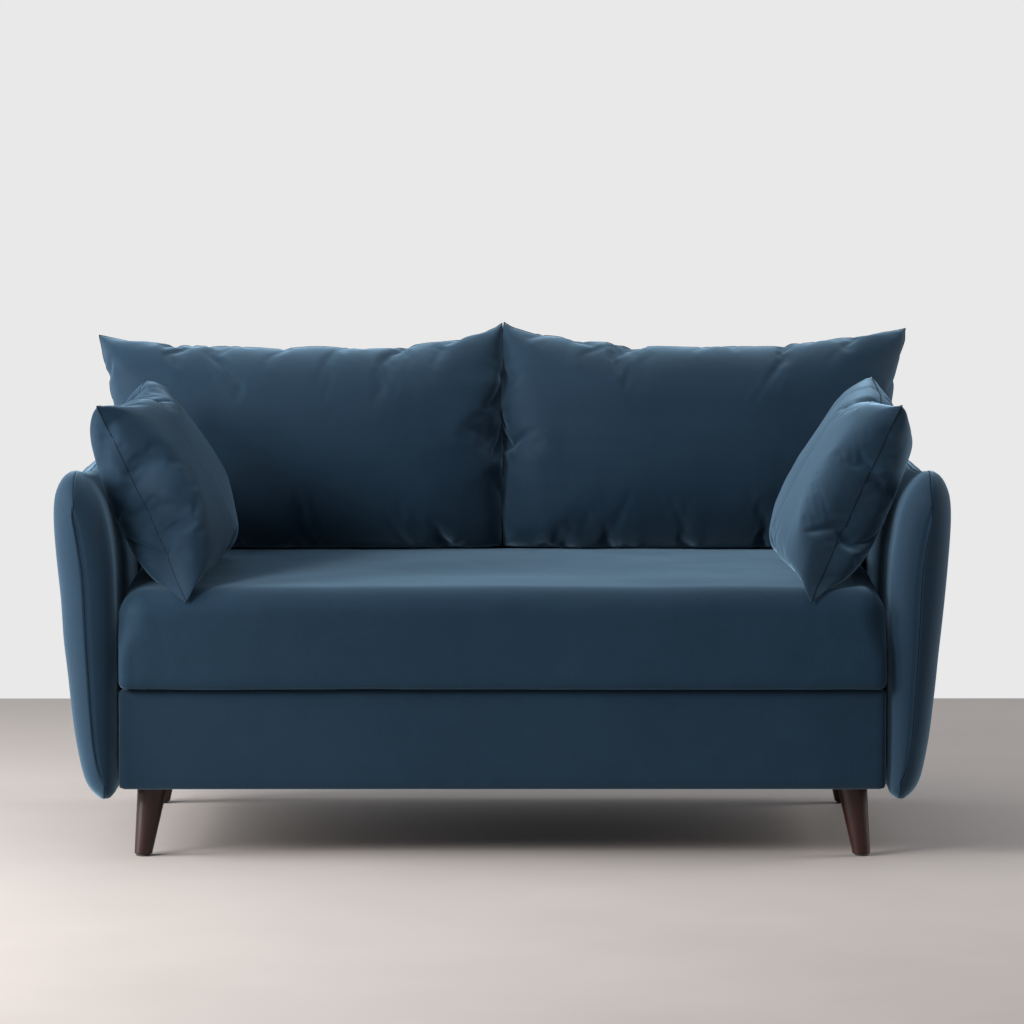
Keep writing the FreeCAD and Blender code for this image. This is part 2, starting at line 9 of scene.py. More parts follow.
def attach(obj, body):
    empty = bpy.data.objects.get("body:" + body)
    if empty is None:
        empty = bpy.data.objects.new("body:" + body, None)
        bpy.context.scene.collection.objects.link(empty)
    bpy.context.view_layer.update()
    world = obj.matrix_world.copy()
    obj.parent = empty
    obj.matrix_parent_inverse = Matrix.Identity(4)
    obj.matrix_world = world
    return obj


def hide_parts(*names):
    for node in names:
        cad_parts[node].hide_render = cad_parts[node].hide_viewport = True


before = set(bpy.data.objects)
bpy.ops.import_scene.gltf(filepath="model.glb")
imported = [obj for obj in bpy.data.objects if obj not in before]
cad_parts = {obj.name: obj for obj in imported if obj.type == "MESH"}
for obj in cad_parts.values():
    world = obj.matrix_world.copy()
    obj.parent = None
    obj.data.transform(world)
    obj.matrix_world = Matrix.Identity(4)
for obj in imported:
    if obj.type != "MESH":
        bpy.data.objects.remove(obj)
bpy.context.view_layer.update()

scene = bpy.context.scene


# ------------------------------------------------------------------ small tools
def smoothstep(a, b, x):
    t = np.clip((np.asarray(x, float) - a) / (b - a), 0.0, 1.0)
    return t * t * (3 - 2 * t)


def fbm(points, scale, seed, octaves=2):
    out = np.empty(len(points))
    off = Vector((seed * 17.3, seed * 5.1, seed * 9.7))
    for i, p in enumerate(points):
        q = Vector((float(p[0]), float(p[1]), float(p[2]))) * scale + off
        v = noise.noise(q)
        if octaves > 1:
            v += 0.5 * noise.noise(q * 2.1 + Vector((3.1, 1.7, 8.2)))
        out[i] = v
    return out


def make(name, verts, faces, merge=0.0):
    me = bpy.data.meshes.new(name)
    me.from_pydata([tuple(map(float, v)) for v in verts], [], faces)
    me.validate()
    bm = bmesh.new()
    bm.from_mesh(me)
    if merge > 0:
        bmesh.ops.remove_doubles(bm, verts=bm.verts, dist=merge)
    loose = [v for v in bm.verts if not v.link_faces]
    if loose:
        bmesh.ops.delete(bm, geom=loose, context="VERTS")
    bmesh.ops.recalc_face_normals(bm, faces=bm.faces)
    if bm.calc_volume(signed=True) < 0:
        bmesh.ops.reverse_faces(bm, faces=bm.faces)
    bm.to_mesh(me)
    bm.free()
    me.polygons.foreach_set("use_smooth", [True] * len(me.polygons))
    me.update()
    ob = bpy.data.objects.new(name, me)
    scene.collection.objects.link(ob)
    return ob


def coords(ob):
    co = np.empty(len(ob.data.vertices) * 3)
    ob.data.vertices.foreach_get("co", co)
    return co.reshape(-1, 3)


def set_coords(ob, co):
    ob.data.vertices.foreach_set("co", np.asarray(co, float).ravel())
    ob.data.update()


def normals(ob):
    ob.data.update()
    n = np.empty(len(ob.data.vertices) * 3)
    ob.data.vertices.foreach_get("normal", n)
    return n.reshape(-1, 3)


def subdivide(ob, levels=1):
    mod = ob.modifiers.new("sub", "SUBSURF")
    mod.levels = levels
    mod.render_levels = levels
    apply_modifiers(ob)


def apply_modifiers(ob):
    bpy.context.view_layer.update()
    dg = bpy.context.evaluated_depsgraph_get()
    me = bpy.data.meshes.new_from_object(ob.evaluated_get(dg))
    old = ob.data
    ob.modifiers.clear()
    ob.data = me
    if old.users == 0:
        bpy.data.meshes.remove(old)
    me.polygons.foreach_set("use_smooth", [True] * len(me.polygons))
    me.update()


def tube(name, path, radius, sides=8, closed=False, flat=1.0):
    # a closed tube mesh along a list of points
    pts = [Vector(p) for p in path]
    n = len(pts)
    verts, faces = [], []
    prev = None
    for i, p in enumerate(pts):
        a = pts[(i - 1) % n] if (closed or i > 0) else p
        b = pts[(i + 1) % n] if (closed or i < n - 1) else p
        t = (b - a).normalized()
        if prev is None:
            ref = Vector((0, 0, 1)) if abs(t.z) < 0.9 else Vector((1, 0, 0))
            u = t.cross(ref).normalized()
        else:
            u = (prev - t * prev.dot(t)).normalized()
        prev = u
        w = t.cross(u)
        for k in range(sides):
            ang = 2 * math.pi * k / sides
            verts.append(p + (u * math.cos(ang) + w * (math.sin(ang) * flat)) * radius)
    rings = n if closed else n - 1
    for i in range(rings):
        j = (i + 1) % n
        for k in range(sides):
            faces.append((i * sides + k, i * sides + (k + 1) % sides, j * sides + (k + 1) % sides, j * sides + k))
    if not closed:
        faces.append(tuple(range(sides - 1, -1, -1)))
        faces.append(tuple((n - 1) * sides + k for k in range(sides)))
    return make(name, verts, faces)


# ------------------------------------------------------------------ materials
def nodes_of(name):
    mat = bpy.data.materials.new(name)
    mat.use_nodes = True
    nt = mat.node_tree
    bsdf = nt.nodes["Principled BSDF"]
    return mat, nt, bsdf


def add(nt, kind, **inputs):
    n = nt.nodes.new(kind)
    for k, v in inputs.items():
        n.inputs[k.replace("_", " ")].default_value = v
    return n


def ramp(nt, fac, stops):
    r = nt.nodes.new("ShaderNodeValToRGB")
    els = r.color_ramp.elements
    els[0].position, els[0].color = stops[0][0], stops[0][1]
    els[1].position, els[1].color = stops[-1][0], stops[-1][1]
    for pos, col in stops[1:-1]:
        e = els.new(pos)
        e.color = col
    nt.links.new(fac, r.inputs["Fac"])
    return r


def mix_color(nt, fac, a, b, mode="MIX"):
    m = nt.nodes.new("ShaderNodeMix")
    m.data_type = "RGBA"
    m.blend_type = mode
    if isinstance(fac, float):
        m.inputs[0].default_value = fac
    else:
        nt.links.new(fac, m.inputs[0])
    for sock, v in ((m.inputs[6], a), (m.inputs[7], b)):
        if isinstance(v, tuple):
            sock.default_value = v
        else:
            nt.links.new(v, sock)
    return m.outputs[2]


def velvet(name, base=(0.0070, 0.0208, 0.0395), light=(0.0088, 0.0254, 0.0465), sheen=0.55, tint=(0.40, 0.66, 0.90), rough=0.72, crush=1.0):
    mat, nt, bsdf = nodes_of(name)
    co = nt.nodes.new("ShaderNodeTexCoord")
    # broad soft areas where the pile lies another way
    big = add(nt, "ShaderNodeTexNoise", Scale=2.6, Detail=2.0, Roughness=0.45, Distortion=0.4)
    nt.links.new(co.outputs["Object"], big.inputs["Vector"])
    mid = add(nt, "ShaderNodeTexNoise", Scale=19.0, Detail=4.0, Roughness=0.6, Distortion=0.4)
    nt.links.new(co.outputs["Object"], mid.inputs["Vector"])
    fine = add(nt, "ShaderNodeTexNoise", Scale=620.0, Detail=2.0, Roughness=0.6)
    nt.links.new(co.outputs["Object"], fine.inputs["Vector"])
    patches = ramp(nt, big.outputs["Fac"], [(0.30, (0, 0, 0, 1)), (0.70, (1, 1, 1, 1))])
    col = mix_color(nt, patches.outputs["Color"], base + (1,), light + (1,))
    mid_ramp = ramp(nt, mid.outputs["Fac"], [(0.30, (0.92, 0.925, 0.93, 1)), (0.72, (1.08, 1.075, 1.07, 1))])
    col = mix_color(nt, 1.0, col, mid_ramp.outputs["Color"], "MULTIPLY")
    fine_ramp = ramp(nt, fine.outputs["Fac"], [(0.3, (0.80, 0.81, 0.82, 1)), (0.75, (1.22, 1.21, 1.20, 1))])
    col = mix_color(nt, 1.0, col, fine_ramp.outputs["Color"], "MULTIPLY")
    nt.links.new(col, bsdf.inputs["Base Color"])
    r = nt.nodes.new("ShaderNodeMapRange")
    r.inputs["To Min"].default_value = rough - 0.08
    r.inputs["To Max"].default_value = rough + 0.10
    nt.links.new(mid.outputs["Fac"], r.inputs["Value"])
    nt.links.new(r.outputs["Result"], bsdf.inputs["Roughness"])
    bsdf.inputs["Specular IOR Level"].default_value = 0.10
    bsdf.inputs["Sheen Weight"].default_value = sheen
    bsdf.inputs["Sheen Roughness"].default_value = 0.46
    bsdf.inputs["Sheen Tint"].default_value = tint + (1,)
    b1 = nt.nodes.new("ShaderNodeBump")
    b1.inputs["Strength"].default_value = 0.16
    b1.inputs["Distance"].default_value = 0.0006
    nt.links.new(fine.outputs["Fac"], b1.inputs["Height"])
    b2 = nt.nodes.new("ShaderNodeBump")
    b2.inputs["Strength"].default_value = 0.10 * crush
    b2.inputs["Distance"].default_value = 0.005
    nt.links.new(mid.outputs["Fac"], b2.inputs["Height"])
    nt.links.new(b1.outputs["Normal"], b2.inputs["Normal"])
    nt.links.new(b2.outputs["Normal"], bsdf.inputs["Normal"])
    return mat


def wood(name, dark, light, rough=0.38, scale=(1.0, 1.0, 0.06), coat=0.25, axis_rot=(0, 0, 0), freq=42.0):
    mat, nt, bsdf = nodes_of(name)
    co = nt.nodes.new("ShaderNodeTexCoord")
    mp = nt.nodes.new("ShaderNodeMapping")
    mp.inputs["Scale"].default_value = scale
    mp.inputs["Rotation"].default_value = axis_rot
    nt.links.new(co.outputs["Object"], mp.inputs["Vector"])
    warp = add(nt, "ShaderNodeTexNoise", Scale=freq * 0.5, Detail=3.0, Roughness=0.55)
    nt.links.new(mp.outputs["Vector"], warp.inputs["Vector"])
    grain = add(nt, "ShaderNodeTexNoise", Scale=freq * 3.0, Detail=6.0, Roughness=0.7, Distortion=0.8)
    nt.links.new(mp.outputs["Vector"], grain.inputs["Vector"])
    pores = add(nt, "ShaderNodeTexNoise", Scale=freq * 16.0, Detail=2.0, Roughness=0.5)
    nt.links.new(mp.outputs["Vector"], pores.inputs["Vector"])
    both = nt.nodes.new("ShaderNodeMath")
    both.operation = "MULTIPLY_ADD"
    nt.links.new(warp.outputs["Fac"], both.inputs[0])
    both.inputs[1].default_value = 0.6
    half = nt.nodes.new("ShaderNodeMath")
    half.operation = "MULTIPLY"
    nt.links.new(grain.outputs["Fac"], half.inputs[0])
    half.inputs[1].default_value = 0.45
    nt.links.new(half.outputs[0], both.inputs[2])
    r = ramp(nt, both.outputs[0], [(0.36, dark + (1,)), (0.5, tuple((a + b) / 2 for a, b in zip(dark, light)) + (1,)), (0.64, light + (1,))])
    pr = ramp(nt, pores.outputs["Fac"], [(0.36, (0.62, 0.6, 0.6, 1)), (0.5, (1, 1, 1, 1))])
    col = mix_color(nt, 1.0, r.outputs["Color"], pr.outputs["Color"], "MULTIPLY")
    nt.links.new(col, bsdf.inputs["Base Color"])
    rr = nt.nodes.new("ShaderNodeMapRange")
    bsdf.inputs["Specular IOR Level"].default_value = 0.35
    rr.inputs["To Min"].default_value = rough - 0.06
    rr.inputs["To Max"].default_value = rough + 0.12
    nt.links.new(grain.outputs["Fac"], rr.inputs["Value"])
    nt.links.new(rr.outputs["Result"], bsdf.inputs["Roughness"])
    bsdf.inputs["Coat Weight"].default_value = coat
    bsdf.inputs["Coat Roughness"].default_value = 0.22
    bp = nt.nodes.new("ShaderNodeBump")
    bp.inputs["Strength"].default_value = 0.12
    bp.inputs["Distance"].default_value = 0.0006
    nt.links.new(pores.outputs["Fac"], bp.inputs["Height"])
    nt.links.new(bp.outputs["Normal"], bsdf.inputs["Normal"])
    return mat


def speckled(name, a, b, scale, rough, bump=0.2, dist=0.0008, metal=0.0, detail=3.0, sheen=0.0):
    mat, nt, bsdf = nodes_of(name)
    co = nt.nodes.new("ShaderNodeTexCoord")
    n1 = add(nt, "ShaderNodeTexNoise", Scale=scale, Detail=detail, Roughness=0.6)
    nt.links.new(co.outputs["Object"], n1.inputs["Vector"])
    n2 = add(nt, "ShaderNodeTexNoise", Scale=scale * 0.07, Detail=2.0, Roughness=0.5)
    nt.links.new(co.outputs["Object"], n2.inputs["Vector"])
    r = ramp(nt, n1.outputs["Fac"], [(0.32, a + (1,)), (0.68, b + (1,))])
    r2 = ramp(nt, n2.outputs["Fac"], [(0.3, (0.88, 0.88, 0.88, 1)), (0.7, (1.1, 1.1, 1.1, 1))])
    nt.links.new(mix_color(nt, 1.0, r.outputs["Color"], r2.outputs["Color"], "MULTIPLY"), bsdf.inputs["Base Color"])
    rr = nt.nodes.new("ShaderNodeMapRange")
    rr.inputs["To Min"].default_value = max(rough - 0.07, 0.05)
    rr.inputs["To Max"].default_value = min(rough + 0.07, 1.0)
    nt.links.new(n1.outputs["Fac"], rr.inputs["Value"])
    nt.links.new(rr.outputs["Result"], bsdf.inputs["Roughness"])
    bsdf.inputs["Metallic"].default_value = metal
    if sheen:
        bsdf.inputs["Sheen Weight"].default_value = sheen
    bp = nt.nodes.new("ShaderNodeBump")
    bp.inputs["Strength"].default_value = bump
    bp.inputs["Distance"].default_value = dist
    nt.links.new(n1.outputs["Fac"], bp.inputs["Height"])
    nt.links.new(bp.outputs["Normal"], bsdf.inputs["Normal"])
    return mat


VELVET = velvet("velvet_teal")
# lit and shaded copies of one velvet: the seat and the two scatter cushions have their sheen (and the seat its base)
# set apart, painted light that makes them catch the light less or more
# painted light: lower sheen darkens the seat's top, and a lighter base keeps its front as bright as before
VELVET_SEAT_PAINTED_LIGHT = velvet("velvet_teal_seat_painted_light", base=(0.0074, 0.0228, 0.0432), light=(0.0093, 0.0277, 0.0506), sheen=0.33)
# painted shade: low sheen darkens the left scatter cushion
VELVET_SC_LEFT_PAINTED_SHADE = velvet("velvet_teal_sc_left_painted_shade", sheen=0.30)
# painted sheen: high sheen brightens the right scatter cushion
VELVET_SC_RIGHT_PAINTED_SHEEN = velvet("velvet_teal_sc_right_painted_sheen", sheen=0.92)
# painted shade: a darker, duller velvet for the thin seam lines, standing in for the shade in the seam's crease
VELVET_SEAM_PAINTED_SHADE = velvet("velvet_seam_painted_shade", base=(0.0032, 0.0090, 0.0165), light=(0.0045, 0.0120, 0.0210), sheen=0.15)
LEG_WOOD = wood("walnut_stained_beech", (0.0110, 0.0027, 0.0021), (0.0380, 0.0098, 0.0072), rough=0.31, coat=0.06, scale=(1, 1, 0.07))
SOFT_X = wood("pine_along_x", (0.42, 0.27, 0.14), (0.68, 0.50, 0.31), rough=0.6, scale=(0.05, 1, 1), coat=0.0, freq=26)
SOFT_Y = wood("pine_along_y", (0.42, 0.27, 0.14), (0.68, 0.50, 0.31), rough=0.6, scale=(1, 0.05, 1), coat=0.0, freq=26)
FELT = speckled("felt_grey", (0.050, 0.053, 0.056), (0.13, 0.135, 0.14), 260.0, 0.95, 0.5, 0.0015, sheen=0.3)
NONWOVEN = speckled("nonwoven_black", (0.008, 0.008, 0.009), (0.028, 0.028, 0.030), 620.0, 0.85, 0.35, 0.0006)
WEBBING = speckled("elastic_webbing", (0.05, 0.045, 0.040), (0.17, 0.155, 0.14), 480.0, 0.85, 0.4, 0.0008)
FOAM = speckled("foam_cream", (0.66, 0.62, 0.50), (0.86, 0.83, 0.73), 420.0, 0.95, 0.6, 0.0015)
ZINC = speckled("zinc_plated_steel", (0.46, 0.46, 0.47), (0.66, 0.66, 0.65), 90.0, 0.34, 0.08, 0.0003, metal=1.0)
SPRING = speckled("spring_wire_black", (0.020, 0.020, 0.022), (0.05, 0.05, 0.054), 300.0, 0.35, 0.1, 0.0002, metal=0.6)
PLASTIC = speckled("glide_plastic", (0.025, 0.025, 0.026), (0.05, 0.05, 0.052), 340.0, 0.5, 0.15, 0.0003)
ZIP_TAPE = speckled("zip_tape", (0.006, 0.013, 0.020), (0.016, 0.028, 0.040), 700.0, 0.85, 0.4, 0.0005)
ZIP_TEETH = speckled("zip_teeth", (0.010, 0.018, 0.026), (0.022, 0.036, 0.050), 900.0, 0.4, 0.2, 0.0003)

KEEP = {
    "front_rail": SOFT_X, "rear_rail": SOFT_X, "left_side_rail": SOFT_Y, "right_side_rail": SOFT_Y, "centre_rail": SOFT_Y,
    "corner_blocks": SOFT_X, "left_arm_frame": SOFT_Y, "right_arm_frame": SOFT_Y, "back_frame": SOFT_X,
    "seat_springs": SPRING, "spring_clips": ZINC, "leg_plates": ZINC, "leg_plate_screws": ZINC, "leg_bolts": ZINC,
    "arm_bolts": ZINC, "arm_washers": ZINC, "arm_tee_nuts": ZINC, "back_brackets": ZINC, "leg_glides": PLASTIC,
    "dust_cover": NONWOVEN, "seat_deck": FELT, "back_webbing": WEBBING,
    "front_left_leg": LEG_WOOD, "front_right_leg": LEG_WOOD, "rear_left_leg": LEG_WOOD, "rear_right_leg": LEG_WOOD,
}
for node, mat in KEEP.items():
    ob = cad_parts[node]
    ob.data.materials.clear()
    ob.data.materials.append(mat)

def edge_ring(co, idx):
    m, n = idx.shape[1] - 1, idx.shape[2] - 1
    ring = [idx[0, 0, i] for i in range(n)] + [idx[0, j, n] for j in range(m)] + [idx[0, m, i] for i in range(n, 0, -1)] + [idx[0, j, 0] for j in range(m, 0, -1)]
    return np.array([co[i] for i in ring])


def painted_shade_seam_line(name, path, radius, body, closed=True):
    # a fine dark line that follows a sewn edge: painted shade, standing in for the shadow in the seam's crease
    line = tube(name, path, radius, sides=6, closed=closed)
    line.data.materials.append(VELVET_SEAM_PAINTED_SHADE)
    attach(line, body)
    return line


# ------------------------------------------------------------------ arms
# the arm's outline across its length, as (x, z) in metres, from its lowest point up the outer face to the crest, and down
ARM_OUTER = [
    (757, 116), (765, 117), (773, 121), (788, 135), (799, 158), (808, 195), (816.5, 245), (824, 305), (831, 370),
    (838, 435), (844, 510), (850, 580), (854, 640), (853.5, 680), (849, 706), (839, 727), (826, 739), (813, 741.5),
]
ARM_INNER = [
    (813, 741.5), (799, 734), (786, 720), (774, 702), (763, 680), (754, 650), (747, 612), (741.5, 570), (738, 520), (737, 460), (737, 390),
    (737, 320), (737, 250), (737, 190), (737, 152), (739, 131), (746, 120), (757, 116),
]
ARM_TOPS = [(-475, 741), (-385, 741), (-290, 733), (-200, 726), (-100, 721), (0, 721), (100, 725), (190, 735), (275, 748), (370, 762), (475, 770)]


def resample(points, n, dense_ends=True):
    p = np.array(points, float) / 1000.0
    # Catmull-Rom through the points, then even spacing with extra samples near the ends
    out = []
    q = np.vstack([2 * p[0] - p[1], p, 2 * p[-1] - p[-2]])
    for i in range(1, len(q) - 2):
        for t in np.linspace(0, 1, 12, endpoint=False):
            a, b, c, d = q[i - 1], q[i], q[i + 1], q[i + 2]
            out.append(0.5 * (2 * b + (c - a) * t + (2 * a - 5 * b + 4 * c - d) * t ** 2 + (3 * b - a - 3 * c + d) * t ** 3))
    out.append(p[-1])
    out = np.array(out)
    s = np.concatenate([[0], np.cumsum(np.linalg.norm(np.diff(out, axis=0), axis=1))])
    t = np.linspace(0, s[-1], n)
    if dense_ends:
        near = np.array([0.0018, 0.0045])
        t = np.concatenate([[0], near, t[1:-1], s[-1] - near[::-1], [s[-1]]])
    return np.column_stack([np.interp(t, s, out[:, 0]), np.interp(t, s, out[:, 1])])


def arm_mesh(name, sign, nz=64, step=0.012, detail=True):
    R_FRONT, R_REAR = 0.054, 0.034
    KEEL_F, KEEL_R = 0.20, 0.26     # how far each end comes to a keel along the seam
    R_TOP_F, R_BOT_F, R_TOP_R, R_BOT_R = 0.072, 0.034, 0.034, 0.022
    y0, y1 = -0.475, 0.475
    outer = resample(ARM_OUTER, nz, detail)
    inner = resample(ARM_INNER, nz, detail)[::-1]
    # pair the two faces up by height, so that each pair meets at the same place on the seam
    k = len(outer)
    stations = []
    angles = [0, 3, 6, 11, 18, 27, 37, 48, 60, 72, 82, 90] if detail else [0, 20, 45, 70, 90]
    for a in angles:
        t = math.radians(a)
        stations.append((y0 + R_FRONT * ((1 - KEEL_F) * (1 - math.cos(t)) + KEEL_F * math.sin(t)), math.sin(t)))
    n = max(2, int((y1 - R_REAR - (y0 + R_FRONT)) / step))
    for y in np.linspace(y0 + R_FRONT, y1 - R_REAR, n + 1)[1:-1]:
        stations.append((float(y), 1.0))
    for a in angles[::-1]:
        t = math.radians(a)
        stations.append((y1 - R_REAR * ((1 - KEEL_R) * (1 - math.cos(t)) + KEEL_R * math.sin(t)), math.sin(t)))
    tops_y = [t[0] / 1000 for t in ARM_TOPS]
    tops_z = [t[1] / 1000 for t in ARM_TOPS]

    def corner(d, r):
        return 0.0 if d >= r else r - math.sqrt(max(r * r - (r - d) ** 2, 0.0))

    verts = []
    for y, c in stations:
        top = float(np.interp(y, tops_y, tops_z)) - corner(y - y0, R_TOP_F) - corner(y1 - y, R_TOP_R)
        bot = 0.116 + corner(y - y0, R_BOT_F) + corner(y1 - y, R_BOT_R)

        def shape(p):
            x, z = p[:, 0].copy(), p[:, 1].copy()
            up = z > 0.55
            z[up] = 0.55 + (z[up] - 0.55) * (top - 0.55) / (0.7415 - 0.55)
            # towards the rear the crest moves in to meet the back
            x -= 0.034 * float(smoothstep(0.0, 0.44, y)) * smoothstep(0.60, 0.74, z)
            lo = z < 0.22
            z[lo] = 0.22 + (z[lo] - 0.22) * (0.22 - bot) / (0.22 - 0.116)
            return np.column_stack([x, z])

        o, i = shape(outer), shape(inner)
        u = np.linspace(0, 1, k)
        seam = 0.5 * (o + i)
        seam[:, 0] += 0.004 * np.sin(np.pi * u)
        oo = seam + (o - seam) * c
        ii = seam + (i - seam) * c ** 0.6      # the inner half is the fuller one at the ends
        for q in list(oo) + list(ii[1:-1][::-1]):
            verts.append([sign * q[0], y, q[1]])
    ring = 2 * k - 2
    faces = []
    for s in range(len(stations) - 1):
        for j in range(ring):
            a, b = s * ring + j, s * ring + (j + 1) % ring
            faces.append((a, b, b + ring, a + ring))
    verts = np.array(verts)
    ids = np.arange(len(verts))
    row = ids // ring
    col = ids % ring
    if detail:
        # the seam sits in a shallow groove round the whole edge, with the pads swelling beside it
        on_crest = (col == k - 1)
        on_tip = (col == 0)
        end_f, end_r = row == 0, row == len(stations) - 1
        verts[on_crest, 2] -= 0.0030
        verts[on_tip, 2] += 0.0022
        verts[end_f, 1] += 0.0020
        verts[end_r, 1] -= 0.0018
        grid = verts.reshape(-1, ring, 3)
        front, over, rear, under = grid[0, :k], grid[:, k - 1], grid[-1, :k][::-1], grid[::-1, 0]
        path = np.vstack([front, over[1:], rear[1:], under[1:-1]])
        keep = [path[0]]
        for q in path[1:]:
            if np.linalg.norm(q - keep[-1]) > 0.004:
                keep.append(q)
        if np.linalg.norm(keep[-1] - keep[0]) < 0.004:
            keep.pop()
        # a dark line along the seam groove: painted shade
        painted_shade_seam_line(name.replace("upholstery", "seam"), keep, 0.0011, "frame")
    ob = make(name, verts, faces, merge=0.00012)
    if detail:
        co, nn = coords(ob), normals(ob)
        # soft padding: a slow undulation, fading out towards the front and rear ends
        slow = fbm(co, 5.5, 3 if sign > 0 else 4)
        amp = smoothstep(0.0, 0.06, np.minimum(co[:, 1] + 0.475, 0.475 - co[:, 1]))
        co += nn * (0.0020 * slow * amp)[:, None]
        set_coords(ob, co)
    return ob


# ------------------------------------------------------------------ rounded box with its own edge radii
def grid_box(lo, hi, step):
    lo, hi = np.array(lo, float), np.array(hi, float)
    n = [max(2, int(round((hi[a] - lo[a]) / step))) for a in range(3)]
    index, verts, faces = {}, [], []

    def vid(i, j, k):
        key = (i, j, k)
        if key not in index:
            index[key] = len(verts)
            verts.append(lo + (hi - lo) * np.array([i / n[0], j / n[1], k / n[2]]))
        return index[key]

    for a, b, c in ((0, 1, 2), (1, 2, 0), (2, 0, 1)):
        for side in (0, n[c]):
            for i in range(n[a]):
                for j in range(n[b]):
                    quad = []
                    for di, dj in ((0, 0), (1, 0), (1, 1), (0, 1)):
                        key = [0, 0, 0]
                        key[a], key[b], key[c] = i + di, j + dj, side
                        quad.append(vid(*key))
                    faces.append(tuple(quad if side else quad[::-1]))
    return np.array(verts), faces


def round_box(p, lo, hi, radius):
    # radius: one value per point
    lo, hi = np.array(lo, float), np.array(hi, float)
    r = np.asarray(radius)[:, None]
    core = np.minimum(np.maximum(p, lo + r), hi - r)
    d = p - core
    length = np.linalg.norm(d, axis=1, keepdims=True)
    # the mapping stretches the corner region evenly
    return np.where(length > 1e-9, core + d / np.maximum(length, 1e-9) * r, p)


SEAT = ((-0.7300, -0.475, 0.3288), (0.7300, 0.300, 0.530))


def seat_top(x, y):
    # height of the seat's top surface
    u = np.asarray(y, float)
    rise = 0.020 * smoothstep(-0.46, -0.02, u) - 0.006 * smoothstep(0.12, 0.30, u)
    roll = 0.007 * (1 - smoothstep(-0.475, -0.33, u))
    return 0.5265 + rise - roll


def seat_mesh(name, step=0.012, detail=True):
    lo, hi = np.array(SEAT[0]), np.array(SEAT[1])
    v, f = grid_box(lo, hi, step)
    h = (v[:, 2] - lo[2]) / (hi[2] - lo[2])
    rear = smoothstep(0.1, 0.3, v[:, 1])
    r_up = 0.054 - 0.022 * rear
    radius = 0.013 + (r_up - 0.013) * smoothstep(0.25, 0.7, h)
    p = round_box(v, lo, hi, radius)
    w = smoothstep(0.45, 1.0, (p[:, 2] - lo[2]) / (hi[2] - lo[2]))
    # the ends of the top drop a little towards the arms
    x = np.abs(p[:, 0])
    p[:, 2] += w * (seat_top(p[:, 0], p[:, 1]) - 0.530) - w * 0.004 * smoothstep(0.45, 0.72, x)
    ob = make(name, p, f)
    if detail:
        co, nn = coords(ob), normals(ob)
        slow = fbm(co * np.array([1.0, 1.3, 1.6]), 3.6, 11)
        mid = fbm(co * np.array([1.0, 1.0, 2.2]), 9.0, 12)
        end = smoothstep(0.52, 0.70, np.abs(co[:, 0]))
        # light upright creases near the ends of the front face, where the cover is pulled round the foam
        crease = fbm(co * np.array([3.0, 1.0, 0.5]), 11.0, 13)
        co += nn * (0.0016 * slow + 0.0007 * mid + 0.0016 * crease * end)[:, None]
        co[:, 1] = np.maximum(co[:, 1], -0.4775)
        set_coords(ob, co)
    return ob


# ------------------------------------------------------------------ bags: two layers of cloth sewn at the edge
def bag_index(n, m):
    idx = np.empty((2, m + 1, n + 1), int)
    c = 0
    for layer in (0, 1):
        for j in range(m + 1):
            for i in range(n + 1):
                edge = i in (0, n) or j in (0, m)
                if layer == 1 and edge:
                    idx[1, j, i] = idx[0, j, i]
                else:
                    idx[layer, j, i] = c
                    c += 1
    return idx, c


def bag_faces(idx):
    f = []
    m, n = idx.shape[1] - 1, idx.shape[2] - 1
    for j in range(m):
        for i in range(n):
            f.append((idx[0, j, i], idx[0, j, i + 1], idx[0, j + 1, i + 1], idx[0, j + 1, i]))
            f.append((idx[1, j, i], idx[1, j + 1, i], idx[1, j + 1, i + 1], idx[1, j, i + 1]))
    return [tuple(int(q) for q in face) for face in f]


def collider(ob, thickness=0.003):
    mod = ob.modifiers.new("hit", "COLLISION")
    ob.collision.thickness_outer = thickness
    ob.collision.thickness_inner = 0.02
    ob.collision.cloth_friction = 8.0
    ob.collision.damping = 0.6
    return mod


def wall(name, origin, u, v, size_u, size_v):
    # one big two-sided quad, split a little
    origin, u, v = Vector(origin), Vector(u).normalized(), Vector(v).normalized()
    verts, faces = [], []
    n = 6
    for j in range(n + 1):
        for i in range(n + 1):
            verts.append(origin + u * ((i / n - 0.5) * size_u) + v * ((j / n - 0.5) * size_v))
    for j in range(n):
        for i in range(n):
            a = j * (n + 1) + i
            faces.append((a, a + 1, a + n + 2, a + n + 1))
    return make(name, verts, faces)


